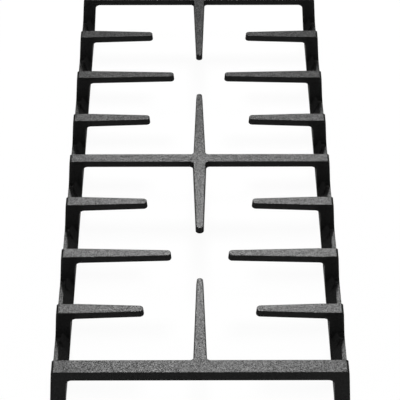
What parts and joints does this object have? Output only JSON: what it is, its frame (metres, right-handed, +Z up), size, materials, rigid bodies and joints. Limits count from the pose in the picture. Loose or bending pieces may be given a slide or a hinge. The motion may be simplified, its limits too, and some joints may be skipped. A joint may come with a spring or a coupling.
{
  "type": "hob pan support",
  "caption": "Long cast-iron pan support for a pair of gas burners: cross bars and tapered fingers on posts that run down into scalloped side rails.",
  "frame": {"origin": "on the hob surface below the middle of the middle bar, within 1 mm of the centre of the part's footprint", "axes": "+X to the right across the support, +Y from the stouter front bar to the rear bar, +Z up from the hob to the pans"},
  "size_m": [0.241, 0.4867, 0.05],
  "materials": {
    "black_enamel": "matt black vitreous enamel over the sand-cast skin of the iron"
  },
  "bodies": {
    "root": {"pan_support": "black_enamel"}
  },
  "joints": []
}
